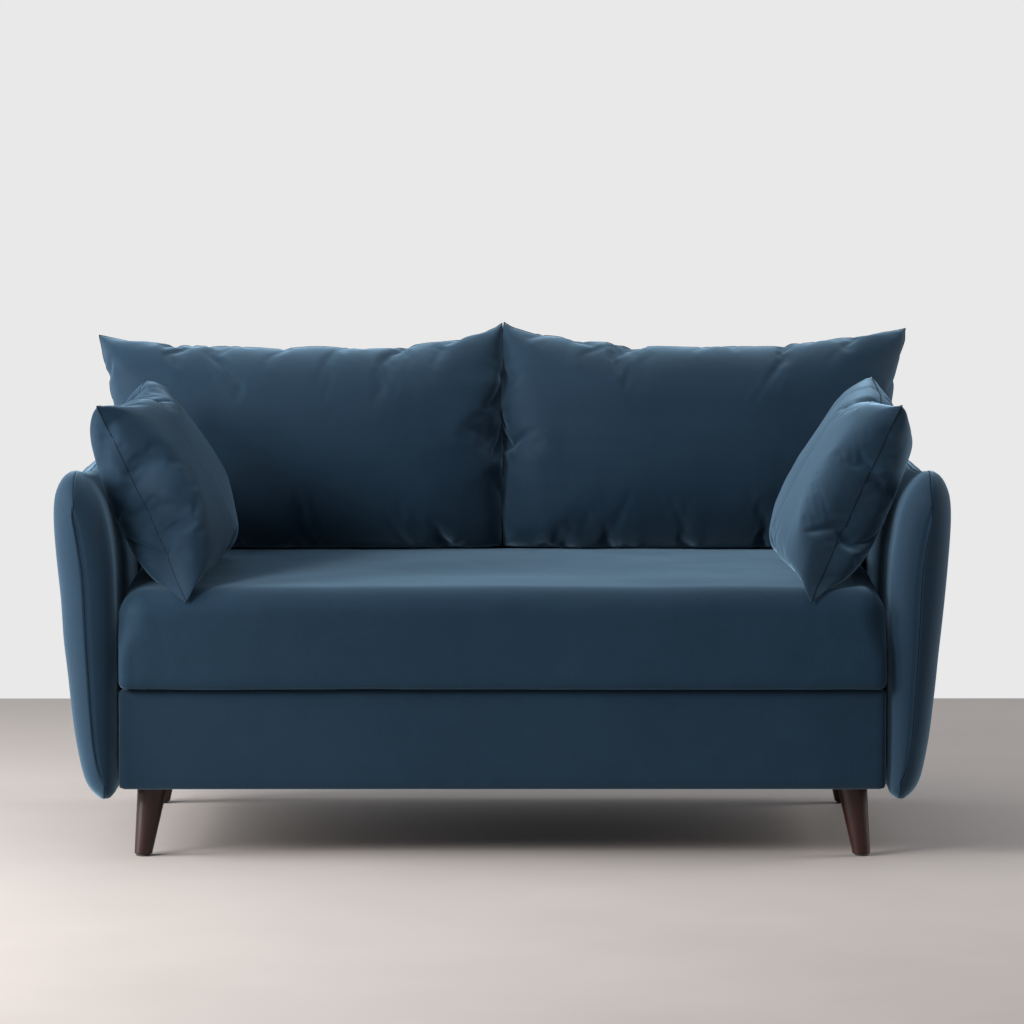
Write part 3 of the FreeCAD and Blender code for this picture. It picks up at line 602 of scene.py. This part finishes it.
def bag(name, W, H, cell, origin, across, up, out, volume, pressure=8.0, seed=1, stiff=30.0, bend=0.05, wobble=0.004):
    # origin is the middle of the bag; it starts as a thin pad, and cloth pressure blows it up in run_cloth
    n, m = int(round(W / cell)), int(round(H / cell))
    idx, count = bag_index(n, m)
    origin, across, up, out = (np.array(a, float) for a in (origin, across, up, out))
    co = np.zeros((count, 3))
    uu, vv = np.linspace(-W / 2, W / 2, n + 1), np.linspace(-H / 2, H / 2, m + 1)
    off = Vector((seed * 7.7, seed * 3.3, seed * 1.9))
    for layer, s in ((0, 1.0), (1, -1.0)):
        for j in range(m + 1):
            for i in range(n + 1):
                edge = i in (0, n) or j in (0, m)
                lift = 0.0 if edge else 0.007
                w = noise.noise(Vector((uu[i] * 9, vv[j] * 9, layer * 5.0)) + off) * wobble
                co[idx[layer, j, i]] = origin + across * uu[i] + up * vv[j] + out * (s * lift + (0 if edge else w))
    ob = make(name, co, bag_faces(idx))
    mod = ob.modifiers.new("cloth", "CLOTH")
    st = mod.settings
    st.quality = 5
    st.mass = 0.3
    st.tension_stiffness = stiff
    st.compression_stiffness = stiff * 0.5
    st.shear_stiffness = 5
    st.bending_stiffness = bend
    st.tension_damping = st.compression_damping = st.shear_damping = 15
    st.air_damping = 10
    st.use_pressure = True
    st.uniform_pressure_force = pressure
    st.use_pressure_volume = True
    st.target_volume = volume / (1 + pressure)
    st.effector_weights.gravity = 0.0
    mod.collision_settings.use_collision = False
    mod.collision_settings.use_self_collision = False
    mod.point_cache.frame_start = 1
    mod.point_cache.frame_end = 60
    return ob, idx


def run_cloth(objects, frames):
    # every bag is simulated in one run, then the result becomes its mesh
    bpy.context.view_layer.update()
    bpy.context.evaluated_depsgraph_get()
    scene.frame_set(0)
    for f in range(1, frames + 1):
        scene.frame_set(f)
    for ob in objects:
        apply_modifiers(ob)
    scene.frame_set(1)


def spread(points, n):
    # n + 1 points along a polyline, evenly by length
    p = np.array(points, float)
    d = np.concatenate([[0], np.cumsum(np.linalg.norm(np.diff(p, axis=0), axis=1))])
    t = np.linspace(0, d[-1], n + 1)
    return np.column_stack([np.interp(t, d, p[:, a]) for a in range(3)])


def bow(a, b, way, amount, n=40, power=2.6):
    # a line from a to b that is pulled off straight by amount, with most of the turn near its ends
    a, b, way = np.array(a, float), np.array(b, float), np.array(way, float)
    t = np.linspace(0, 1, n + 1)[:, None]
    return a + (b - a) * t + way * (amount * (1 - np.abs(2 * t - 1) ** power))


def edge_fit(co, idx, left, right, bottom, top, keep=(1.0, 1.0, 1.0, 1.0)):
    # brings the four sewn edges to given lines, keeping their small waves, and the rest of the bag in proportion
    m, n = idx.shape[1] - 1, idx.shape[2] - 1
    u = np.zeros(len(co))
    v = np.zeros(len(co))
    for layer in (0, 1):
        for j in range(m + 1):
            u[idx[layer, j]] = np.arange(n + 1) / n
            v[idx[layer, j]] = j / m

    def shift(ids, line, count, keep):
        cur = co[ids]
        t = np.linspace(0, 1, count + 1)
        line = spread(line, count)
        low = np.column_stack([np.polyval(np.polyfit(t, cur[:, a], 7), t) for a in range(3)])
        fade = smoothstep(0.0, 0.06, np.minimum(t, 1 - t))[:, None]
        wave = (cur - low) * fade * keep
        return line + wave - cur

    dl = shift(idx[0, :, 0], left, m, keep[0])
    dr = shift(idx[0, :, n], right, m, keep[1])
    db = shift(idx[0, 0, :], bottom, n, keep[2])
    dt = shift(idx[0, m, :], top, n, keep[3])
    tu, tv = np.linspace(0, 1, n + 1), np.linspace(0, 1, m + 1)

    def at(t, d, x):
        return np.column_stack([np.interp(x, t, d[:, a]) for a in range(3)])

    U, V = u[:, None], v[:, None]
    # edge waves die out a little way in, so they do not print through the whole face
    patch = (1 - V) * at(tu, db, u) + V * at(tu, dt, u) + (1 - U) * at(tv, dl, v) + U * at(tv, dr, v)
    patch -= (1 - U) * (1 - V) * db[0] + U * (1 - V) * db[-1] + (1 - U) * V * dt[0] + U * V * dt[-1]
    return co + patch, u, v


def thicken(co, idx, gain_front, gain_rear, plump=0.0):
    # scales the two layers' distance from the middle surface; the gains are functions of (u, v), and plump fills out the
    # part between the middle and the seams
    m, n = idx.shape[1] - 1, idx.shape[2] - 1
    out = co.copy()
    uu, vv = np.meshgrid(np.arange(n + 1) / n, np.arange(m + 1) / m)
    a, b = co[idx[0]], co[idx[1]]
    mid, half = (a + b) / 2, (a - b) / 2
    deep = np.linalg.norm(half, axis=2, keepdims=True)
    half = half * (1 + plump * (1 - (deep / deep.max()) ** 2))
    out[idx[0]] = mid + half * gain_front(uu, vv)[:, :, None]
    out[idx[1]] = mid - half * gain_rear(uu, vv)[:, :, None]
    return out


def crease_seam(ob, idx, value=0.9):
    bm = bmesh.new()
    bm.from_mesh(ob.data)
    layer = bm.edges.layers.float.get("crease_edge") or bm.edges.layers.float.new("crease_edge")
    m, n = idx.shape[1] - 1, idx.shape[2] - 1
    rim = set(int(q) for q in idx[0, 0, :]) | set(int(q) for q in idx[0, m, :]) | set(int(q) for q in idx[0, :, 0]) | set(int(q) for q in idx[0, :, n])
    bm.verts.ensure_lookup_table()
    for e in bm.edges:
        if e.verts[0].index in rim and e.verts[1].index in rim:
            e[layer] = value
    bm.to_mesh(ob.data)
    bm.free()


pieces = []


def finish_piece(ob, mat, body, replaces=()):
    ob.data.materials.clear()
    ob.data.materials.append(mat)
    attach(ob, body)
    if replaces:
        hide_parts(*replaces)
    pieces.append(ob)
    return ob


# ------------------------------------------------------------------ build the fixed upholstery
for sign, side in ((1, "right"), (-1, "left")):
    arm = arm_mesh("%s_arm_upholstery" % side, sign)
    finish_piece(arm, VELVET, "frame", ("%s_arm_outer_cover" % side, "%s_arm_inner_cover" % side, "%s_arm_padding" % side))

# front panel: a thin pad with soft long edges
lo, hi = (-0.731, -0.452, 0.1345), (0.731, -0.4285, 0.3262)
v, f = grid_box(lo, hi, 0.010)
p = round_box(v, lo, hi, np.full(len(v), 0.0085))
panel = make("front_panel_upholstery", p, f)
co, nn = coords(panel), normals(panel)
mask = smoothstep(0.0, 0.05, np.minimum(co[:, 2] - lo[2], hi[2] - co[:, 2]))
slow = fbm(co * np.array([1, 1, 1.4]), 4.0, 21)
co[:, 1] -= np.where(nn[:, 1] < -0.3, mask * (0.0018 + 0.0014 * slow), 0)
set_coords(panel, co)
finish_piece(panel, VELVET, "frame", ("front_panel_cover", "front_panel_foam"))


# back: the padded front and top as one piece, and a flat rear panel
def back_mesh(name):
    prof = [
        (0.430, 0.3400), (0.330, 0.3385), (0.308, 0.3420), (0.3065, 0.3600), (0.311, 0.42), (0.320, 0.52), (0.330, 0.62), (0.3395, 0.70),
        (0.344, 0.733), (0.352, 0.756), (0.366, 0.770), (0.385, 0.7775), (0.410, 0.7795), (0.436, 0.7775), (0.455, 0.771), (0.467, 0.760),
        (0.4725, 0.745), (0.4735, 0.728), (0.4735, 0.700), (0.452, 0.695), (0.446, 0.60), (0.440, 0.45),
    ]
    q = np.array(prof)
    dense = []
    n = len(q)
    for i in range(n):
        a, b, c, d = q[i - 1], q[i], q[(i + 1) % n], q[(i + 2) % n]
        for t in np.linspace(0, 1, 6, endpoint=False):
            dense.append(0.5 * (2 * b + (c - a) * t + (2 * a - 5 * b + 4 * c - d) * t ** 2 + (3 * b - a - 3 * c + d) * t ** 3))
    dense = np.array(dense)
    centre = np.array([0.39, 0.56])
    half = 0.7335
    xs, cs = [], []
    for a in (0, 15, 30, 50, 70, 90):
        t = math.radians(a)
        xs.append(-half + 0.014 * (1 - math.cos(t)))
        cs.append(0.014 * (1 - math.sin(t)))
    inner = list(np.linspace(-half + 0.014, half - 0.014, 100))[1:-1]
    xs = xs + inner + [-x for x in xs[::-1]]
    cs = cs + [0.0] * len(inner) + cs[::-1]
    k = len(dense)
    tang = np.roll(dense, -1, 0) - np.roll(dense, 1, 0)
    nrm = np.column_stack([tang[:, 1], -tang[:, 0]])
    nrm /= np.linalg.norm(nrm, axis=1, keepdims=True)
    if ((dense - centre) * nrm).sum() < 0:
        nrm = -nrm
    verts, faces = [], []
    for x, c in zip(xs, cs):
        for q2 in dense - nrm * c:
            verts.append((x, q2[0], q2[1]))
    for s in range(len(xs) - 1):
        for j in range(k):
            a, b = s * k + j, s * k + (j + 1) % k
            faces.append((a, b, b + k, a + k))
    faces.append(tuple(range(k - 1, -1, -1)))
    faces.append(tuple((len(xs) - 1) * k + j for j in range(k)))
    ob = make(name, verts, faces)
    co, nn = coords(ob), normals(ob)
    slow = fbm(co, 5.0, 31)
    co += nn * (0.0016 * slow * smoothstep(0.36, 0.42, co[:, 2]))[:, None]
    co[:, 1] = np.minimum(co[:, 1], 0.4745)
    set_coords(ob, co)
    return ob


back = back_mesh("back_upholstery")
finish_piece(back, VELVET, "frame", ("back_inner_cover", "back_padding"))
lo, hi = (-0.7360, 0.4440, 0.1345), (0.7360, 0.4755, 0.7300)
v, f = grid_box(lo, hi, 0.014)
p = round_box(v, lo, hi, np.full(len(v), 0.0060))
rear = make("back_outer_panel", p, f)
co, nn = coords(rear), normals(rear)
slow = fbm(co, 2.6, 41)
mask = smoothstep(0.0, 0.06, np.minimum(np.minimum(co[:, 2] - lo[2], hi[2] - co[:, 2]), 0.7360 - np.abs(co[:, 0])))
co[:, 1] += np.where(nn[:, 1] > 0.3, mask * (0.0010 + 0.0016 * slow), 0)
set_coords(rear, co)
finish_piece(rear, VELVET, "frame", ("back_outer_cover",))

# ------------------------------------------------------------------ seat cushion
seat = seat_mesh("seat_cushion")
# the seat wears the lit and shaded copy of the velvet: painted light
finish_piece(seat, VELVET_SEAT_PAINTED_LIGHT, "seat_cushion", ("seat_cushion_cover_top", "seat_cushion_cover_bottom", "seat_cushion_foam", "seat_cushion_zip"))

# ------------------------------------------------------------------ loose cushions
LEAN = math.radians(10.5)
BACK_O = np.array([0.0, 0.196, 0.556])
CELL_B, CELL_S = ((0.0085, 0.0068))
FRAMES = 30


def soft_floor(z, floor, k):
    # keeps z above floor, with a soft bend of size k
    d = (z - floor) / k
    return floor + k * np.where(d > 20, d, np.log1p(np.exp(np.clip(d, -60, 20))))


def back_line(points):
    # (x, z) points on the back cushions' leaning middle plane
    return [(x, BACK_O[1] + (z - BACK_O[2]) * math.tan(LEAN), z) for x, z in points]


TOP_LEFT = [
    (-0.8215, 0.9745), (-0.7993, 0.9700), (-0.7687, 0.9640), (-0.7381, 0.9600), (-0.7075, 0.9561), (-0.6769, 0.9535), (-0.6158, 0.9505), (-0.5547, 0.9500),
    (-0.4936, 0.9496), (-0.4630, 0.9480), (-0.4121, 0.9480), (-0.3510, 0.9484), (-0.3103, 0.9478), (-0.2797, 0.9462), (-0.2492, 0.9470), (-0.2186, 0.9482),
    (-0.1881, 0.9501), (-0.1575, 0.9541), (-0.1270, 0.9584), (-0.0965, 0.9642), (-0.0659, 0.9706), (-0.0353, 0.9790), (-0.0140, 0.9890), (-0.0002, 0.9990),
]
TOP_RIGHT = [
    (0.0035, 1.0005), (0.0200, 0.9900), (0.0563, 0.9800), (0.0869, 0.9738), (0.1174, 0.9678), (0.1480, 0.9592), (0.1785, 0.9600), (0.2091, 0.9578),
    (0.2396, 0.9541), (0.2702, 0.9468), (0.3007, 0.9498), (0.3618, 0.9491), (0.4433, 0.9500), (0.5146, 0.9501), (0.5451, 0.9521), (0.5757, 0.9541),
    (0.6063, 0.9561), (0.6368, 0.9582), (0.6674, 0.9622), (0.6980, 0.9662), (0.7286, 0.9703), (0.7592, 0.9758), (0.7898, 0.9804), (0.8215, 0.9880),
]
SIDE_LEFT = [
    (-0.8215, 0.9745), (-0.8200, 0.9642), (-0.8145, 0.9440), (-0.8095, 0.9238), (-0.8044, 0.9036), (-0.7985, 0.8834), (-0.7960, 0.8632), (-0.7910, 0.8430),
    (-0.7850, 0.82), (-0.778, 0.79), (-0.770, 0.75), (-0.758, 0.70), (-0.748, 0.65), (-0.739, 0.60), (-0.733, 0.548),
]
SIDE_RIGHT = [
    (0.8215, 0.9880), (0.8200, 0.9780), (0.8176, 0.9642), (0.8125, 0.9440), (0.8086, 0.9238), (0.8034, 0.9036), (0.7979, 0.8834), (0.7930, 0.8632),
    (0.7870, 0.8430), (0.780, 0.80), (0.771, 0.75), (0.759, 0.70), (0.748, 0.65), (0.739, 0.60), (0.733, 0.548),
]

built = {}
for side, sign, seed in (("right", 1, 5), ("left", -1, 9)):
    up = np.array([0, math.sin(LEAN), math.cos(LEAN)])
    out = (0, -math.cos(LEAN), math.sin(LEAN))
    name = "back_cushion_%s" % side
    mid = BACK_O + up * 0.212 + np.array([sign * 0.412, 0, 0])
    built[name] = bag(name, 0.845, 0.482, CELL_B, mid, (1, 0, 0), up, out, 0.0450, pressure=8.0, seed=seed)

S_OUT = Vector((-0.872, -0.198, 0.449)).normalized()
S_UP = Vector((0.42, 0.12, 0.90))
S_UP = (S_UP - S_OUT * S_UP.dot(S_OUT)).normalized()
S_ACROSS = S_UP.cross(S_OUT)     # points to the rear
if S_ACROSS.y < 0:
    S_ACROSS = -S_ACROSS


def flip(p, sign):
    return np.array([sign * p[0], p[1], p[2]])


for side, sign, seed in (("right", 1, 15), ("left", -1, 22)):
    name = "scatter_cushion_%s" % side
    built[name] = bag(name, 0.455, 0.455, CELL_S, (sign * 0.652, -0.195, 0.693), flip(S_ACROSS, sign), flip(S_UP, sign), flip(S_OUT, sign), 0.0140, pressure=8.0, seed=seed)

run_cloth([ob for ob, idx in built.values()], FRAMES)

# back cushions: seams to their lines, weight into the lower half, flat on the seat, the back and each other
for side, sign in (("right", 1), ("left", -1)):
    name = "back_cushion_%s" % side
    ob, idx = built[name]
    co = coords(ob)
    if sign > 0:
        top, outer = back_line(TOP_RIGHT), back_line(SIDE_RIGHT)[::-1]
        inner = back_line([(0.002, 0.546), (0.0, 0.60), (-0.0012, 0.75), (-0.0012, 0.90), (-0.0008, 0.97), (0.0035, 1.0005)])
        left, right = inner, outer
        bottom = [inner[0]] + back_line([(0.05, 0.534), (0.15, 0.529), (0.40, 0.528), (0.60, 0.529), (0.69, 0.534)]) + [outer[0]]
    else:
        top, outer = back_line(TOP_LEFT), back_line(SIDE_LEFT)[::-1]
        inner = back_line([(-0.002, 0.546), (0.0, 0.60), (0.0012, 0.75), (0.0012, 0.90), (0.0010, 0.97), (-0.0002, 0.9990)])
        left, right = outer, inner
        bottom = [outer[0]] + back_line([(-0.69, 0.534), (-0.60, 0.529), (-0.40, 0.528), (-0.15, 0.529), (-0.05, 0.534)]) + [inner[0]]
    co, u, v = edge_fit(co, idx, left, right, bottom, top, keep=(0.35, 0.8, 0.6, 0.8) if sign > 0 else (0.8, 0.35, 0.6, 0.8))
    co = thicken(co, idx, lambda u, v: 1.08 - 0.12 * smoothstep(0.35, 0.95, v), lambda u, v: 1.0 + 0 * u, plump=0.16)
    floor = seat_top(co[:, 0], co[:, 1]) + 0.0028
    co[:, 2] = soft_floor(co[:, 2], floor, 0.005)
    zz = np.clip(co[:, 2], 0.34, 0.78)
    face_y = 0.3065 + (zz - 0.36) / (0.733 - 0.36) * 0.0375 - 0.0045
    lim = np.where(co[:, 2] < 0.80, face_y, face_y + (co[:, 2] - 0.80) * 2.0)
    co[:, 1] = -soft_floor(-co[:, 1], -lim, 0.005)
    zs = np.array([0.30, 0.55, 0.60, 0.65, 0.70, 0.735, 0.765, 0.80, 1.1])
    xs = np.array([0.7345, 0.736, 0.741, 0.748, 0.755, 0.764, 0.782, 0.86, 0.95]) - 0.003
    ax = co[:, 0] * sign
    ax = -soft_floor(-ax, -np.interp(co[:, 2], zs, xs), 0.004)
    ax = soft_floor(ax, -0.0020, 0.0010)
    co[:, 0] = ax * sign
    set_coords(ob, co)
    ring = edge_ring(co, idx)
    crease_seam(ob, idx)
    subdivide(ob, 1)
    # a dark line along the sewn edge: painted shade
    painted_shade_seam_line(name + "_seam", ring, 0.0009, name)
    finish_piece(ob, VELVET, name, (name + "_front_cover", name + "_rear_cover", name + "_filling", name + "_zip"))

# scatter cushions: they lean on the arms, sag into their lower halves, and a front corner hangs over the seat's rolled edge
SCATTER = {
    -1: dict(ft=(-0.7779, -0.345, 0.8615), rt=(-0.7090, 0.022, 0.8950), fb=(-0.5985, -0.477, 0.4925), rb=(-0.552, -0.050, 0.551),
             top=[(-0.7530, -0.270, 0.8535), (-0.7310, -0.150, 0.8505), (-0.7210, -0.060, 0.8660)],
             front=[(-0.7586, -0.333, 0.8192), (-0.7030, -0.352, 0.7067), (-0.6565, -0.390, 0.6190), (-0.6150, -0.452, 0.5250)]),
    1: dict(ft=(0.7667, -0.345, 0.8630), rt=(0.7345, 0.018, 0.9010), fb=(0.5855, -0.477, 0.4925), rb=(0.545, -0.050, 0.551),
            top=[(0.7480, -0.270, 0.8530), (0.7430, -0.150, 0.8500), (0.7440, -0.070, 0.8700)],
            front=[(0.7454, -0.333, 0.8192), (0.6930, -0.352, 0.7102), (0.6435, -0.390, 0.6121), (0.5990, -0.452, 0.5250)]),
}
for side, sign in (("right", 1), ("left", -1)):
    name = "scatter_cushion_%s" % side
    ob, idx = built[name]
    q = SCATTER[sign]
    # columns run to the rear, rows run up
    top = [q["ft"]] + q["top"] + [q["rt"]]
    front = [q["fb"]] + q["front"][::-1] + [q["ft"]]
    rear = bow(q["rb"], q["rt"], (0, -1, 0), 0.030)
    # the lower edge rises a little off the seat between its corners
    bottom = [q["fb"]]
    for y, z in ((-0.452, 0.512), (-0.41, 0.528), (-0.33, 0.538), (-0.22, 0.5500), (-0.12, 0.5540)):
        t = (y - q["fb"][1]) / (q["rb"][1] - q["fb"][1])
        bottom.append((q["fb"][0] * (1 - t) + q["rb"][0] * t - sign * -0.004, y, z))
    bottom.append(q["rb"])
    co, u, v = edge_fit(coords(ob), idx, front, rear, bottom, top, keep=(0.9, 0.9, 0.5, 0.9))
    swell = 1.13 if sign < 0 else 0.93
    co = thicken(co, idx, lambda u, v: swell - 0.12 * smoothstep(0.45, 0.95, v), lambda u, v: 1.04 + 0 * u, plump=0.30)
    yy = co[:, 1]
    nose = np.where(yy < -0.423, 0.054 - np.sqrt(np.maximum(0.054 ** 2 - np.minimum(-0.423 - yy, 0.0535) ** 2, 0)), 0)
    floor = seat_top(co[:, 0], yy) - nose + 0.0028
    co[:, 2] = soft_floor(co[:, 2], floor, 0.005)
    ax = co[:, 0] * sign
    tops = np.interp(yy, [t[0] / 1000 for t in ARM_TOPS], [t[1] / 1000 for t in ARM_TOPS])
    zs = np.array([0.40, 0.52, 0.57, 0.612, 0.65, 0.68, 0.702, 0.72, 0.734, 0.7415])
    xs = np.array([0.7365, 0.7375, 0.741, 0.747, 0.755, 0.764, 0.775, 0.787, 0.800, 0.820]) - 0.003
    zr = np.where(co[:, 2] > 0.55, 0.55 + (co[:, 2] - 0.55) * (0.7415 - 0.55) / (tops - 0.55), co[:, 2])
    lim = np.interp(zr, zs, xs, right=2.0)
    ax = -soft_floor(-ax, -lim, 0.005)
    co[:, 0] = ax * sign
    set_coords(ob, co)
    ring = edge_ring(co, idx)
    crease_seam(ob, idx)
    subdivide(ob, 1)
    # a dark line along the sewn edge: painted shade
    painted_shade_seam_line(name + "_seam", ring, 0.0009, name)
    # the scatter cushions wear lit and shaded copies of the velvet: painted shade on the left one, painted sheen on the
    # right one
    finish_piece(ob, VELVET_SC_LEFT_PAINTED_SHADE if sign < 0 else VELVET_SC_RIGHT_PAINTED_SHEEN, name, (name + "_front_cover", name + "_rear_cover", name + "_filling", name + "_zip"))

# ------------------------------------------------------------------ floor, light, camera
floor_mat, nt, bsdf = nodes_of("floor_pale")
co_n = nt.nodes.new("ShaderNodeTexCoord")
fn = add(nt, "ShaderNodeTexNoise", Scale=2.2, Detail=4.0, Roughness=0.55)
nt.links.new(co_n.outputs["Object"], fn.inputs["Vector"])
fr = ramp(nt, fn.outputs["Fac"], [(0.3, (0.50, 0.455, 0.43, 1)), (0.7, (0.535, 0.487, 0.46, 1))])
nt.links.new(fr.outputs["Color"], bsdf.inputs["Base Color"])
bsdf.inputs["Roughness"].default_value = 0.55
bsdf.inputs["Specular IOR Level"].default_value = 0.25
fv = [(-7, -8, 0), (7, -8, 0), (7, 2.36, 0), (-7, 2.36, 0)]
floor = make("studio_floor", fv, [(0, 1, 2, 3)])
floor.data.materials.append(floor_mat)

world = bpy.data.worlds.new("studio")
scene.world = world
world.use_nodes = True
wn = world.node_tree
bg = wn.nodes["Background"]
bg.inputs["Color"].default_value = (0.90, 0.94, 1.0, 1)
bg.inputs["Strength"].default_value = 0.31
# the backdrop that the camera sees is brighter than the light it gives
seen = wn.nodes.new("ShaderNodeBackground")
seen.inputs["Color"].default_value = (0.82, 0.815, 0.815, 1)
path = wn.nodes.new("ShaderNodeLightPath")
mixer = wn.nodes.new("ShaderNodeMixShader")
wn.links.new(path.outputs["Is Camera Ray"], mixer.inputs["Fac"])
wn.links.new(bg.outputs["Background"], mixer.inputs[1])
wn.links.new(seen.outputs["Background"], mixer.inputs[2])
wn.links.new(mixer.outputs["Shader"], wn.nodes["World Output"].inputs["Surface"])


def area(name, loc, target, size, power, color=(1, 1, 1), size_y=None):
    light = bpy.data.lights.new(name, "AREA")
    light.shape = "RECTANGLE" if size_y else "SQUARE"
    light.size = size
    if size_y:
        light.size_y = size_y
    light.energy = power
    light.color = color
    ob = bpy.data.objects.new(name, light)
    ob.location = loc
    ob.rotation_euler = (Vector(target) - Vector(loc)).to_track_quat("-Z", "Y").to_euler()
    scene.collection.objects.link(ob)
    return ob


area("key", (-3.2, -2.8, 2.2), (0.1, 0, 0.40), 1.4, 162, (1.0, 0.985, 0.965))
area("window", (-4.0, -0.9, 1.4), (0, -0.1, 0.5), 1.8, 215, (1.0, 0.99, 0.98))
area("side", (4.0, 0.7, 1.5), (0.7, 0, 0.4), 1.8, 64, (1.0, 0.98, 0.96))
area("top", (-0.3, 0.2, 2.9), (0, 0.1, 0.5), 2.2, 21, (0.97, 0.985, 1.0))

cam_data = bpy.data.cameras.new("camera")
cam = bpy.data.objects.new("camera", cam_data)
scene.collection.objects.link(cam)
scene.camera = cam
cam_data.sensor_width = 36.0
cam_data.lens = 176.86
cam.location = (0.0, -9.975, 1.36)
cam.rotation_euler = (math.radians(90 - 4.17), 0, math.radians(-0.11))
cam_data.clip_end = 60

scene.view_settings.view_transform = "Standard"
